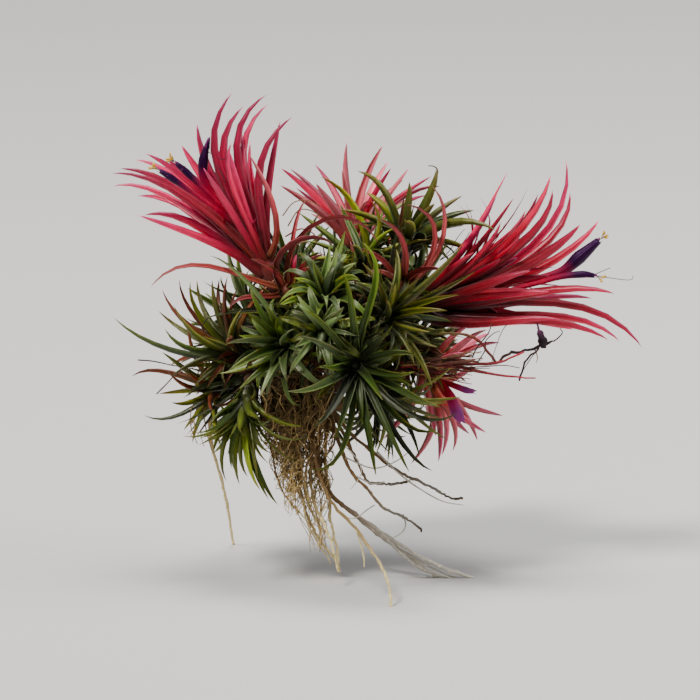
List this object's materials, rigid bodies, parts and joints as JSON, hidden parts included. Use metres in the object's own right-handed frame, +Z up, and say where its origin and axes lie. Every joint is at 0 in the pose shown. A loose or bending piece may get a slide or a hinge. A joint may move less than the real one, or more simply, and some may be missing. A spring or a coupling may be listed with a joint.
{
  "type": "air plant",
  "caption": "Picked clump of blooming air plants: green rosettes of narrow keeled leaves, crimson flowering heads with violet flowers, and wiry roots it stands on.",
  "frame": {"origin": "centre of the bounding box on the floor, among the root ends it stands on", "axes": "+Z up, +X towards the large right flowering head, along the longest extent, -Y the side the picture shows"},
  "size_m": [0.202, 0.1438, 0.1851],
  "materials": {
    "bark": "rough",
    "root_brown": "rough, wiry",
    "root_tan": "rough, wiry",
    "crimson_leaf": "satin, finely scurfy",
    "coral_leaf": "satin, finely scurfy",
    "brick_leaf": "satin, finely scurfy",
    "green_leaf": "matte, silver scurf",
    "olive_leaf": "matte, silver scurf",
    "silver_leaf": "matte, silver scurf",
    "petal": "satin",
    "pollen": "powdery",
    "withered_petal": "dry, wrinkled",
    "straw": "dry, fibrous"
  },
  "bodies": {
    "root": {"woody_stem": "bark", "root_tangle": "root_brown", "left_root": "root_tan", "left_bloom_leaves": "crimson_leaf", "right_bloom_leaves": "crimson_leaf", "back_bloom_leaves": "coral_leaf", "lower_bloom_leaves": "coral_leaf", "left_arching_leaves": "brick_leaf", "right_arching_leaves": "brick_leaf", "front_rosette": "green_leaf", "upper_right_rosette": "green_leaf", "top_rosette": "olive_leaf", "upper_front_rosette": "silver_leaf", "middle_rosette": "silver_leaf", "right_rosette": "green_leaf", "front_left_rosette": "silver_leaf", "left_rosette": "olive_leaf", "lower_left_rosette": "olive_leaf", "hanging_rosette": "green_leaf", "lower_rosette": "green_leaf", "back_left_rosette": "green_leaf", "back_middle_rosette": "silver_leaf", "back_right_rosette": "green_leaf", "back_low_rosette": "olive_leaf", "back_upper_left_rosette": "green_leaf", "back_upper_right_rosette": "olive_leaf", "under_rosette": "green_leaf", "right_flower": "petal", "right_low_flower": "petal", "left_flower": "petal", "left_middle_flower": "petal", "left_outer_flower": "petal", "lower_flower": "petal", "right_anthers": "pollen", "right_low_anthers": "pollen", "left_middle_anthers": "pollen", "left_outer_anthers": "pollen", "withered_flower": "withered_petal", "dry_head": "straw"}
  },
  "joints": []
}
